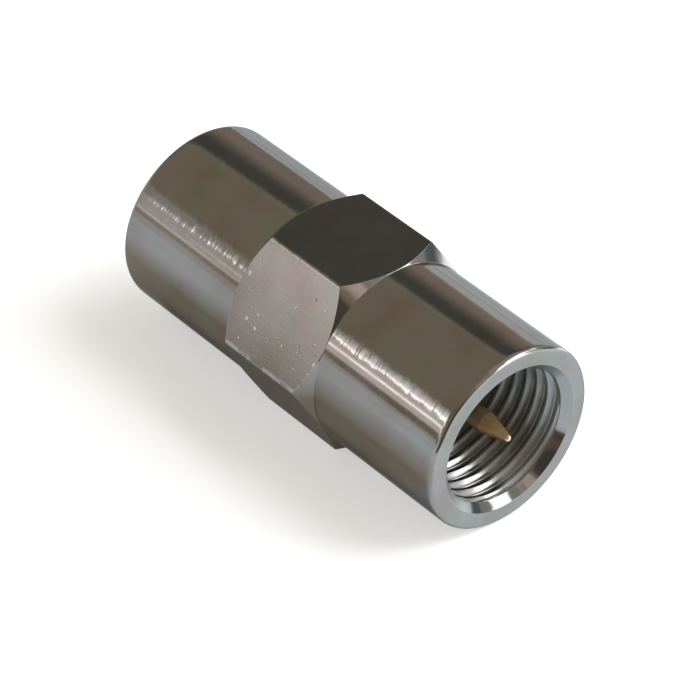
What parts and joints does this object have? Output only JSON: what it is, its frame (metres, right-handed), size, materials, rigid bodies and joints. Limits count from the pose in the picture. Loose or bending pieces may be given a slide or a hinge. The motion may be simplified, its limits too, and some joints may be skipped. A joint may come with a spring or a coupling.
{
  "type": "fme adapter",
  "caption": "Straight coaxial adapter with an internally threaded socket and a pointed pin at each end, and a hexagonal grip in the middle.",
  "frame": {"origin": "on the axis, at the middle of the length", "axes": "+X along the axis towards the front mouth, +Z square to a flat of the hexagon, so that the adapter lies on the opposite flat"},
  "size_m": [0.0232, 0.0116, 0.01],
  "materials": {
    "nickel_plate": "bright nickel plating over turned brass, with fine tool marks round the barrels",
    "gold_plate": "gold plating over turned brass",
    "insulator": "turned white fluoropolymer, waxy"
  },
  "bodies": {
    "root": {"body": "nickel_plate", "centre_contact": "gold_plate", "front_insulator": "insulator", "rear_insulator": "insulator"}
  },
  "joints": []
}
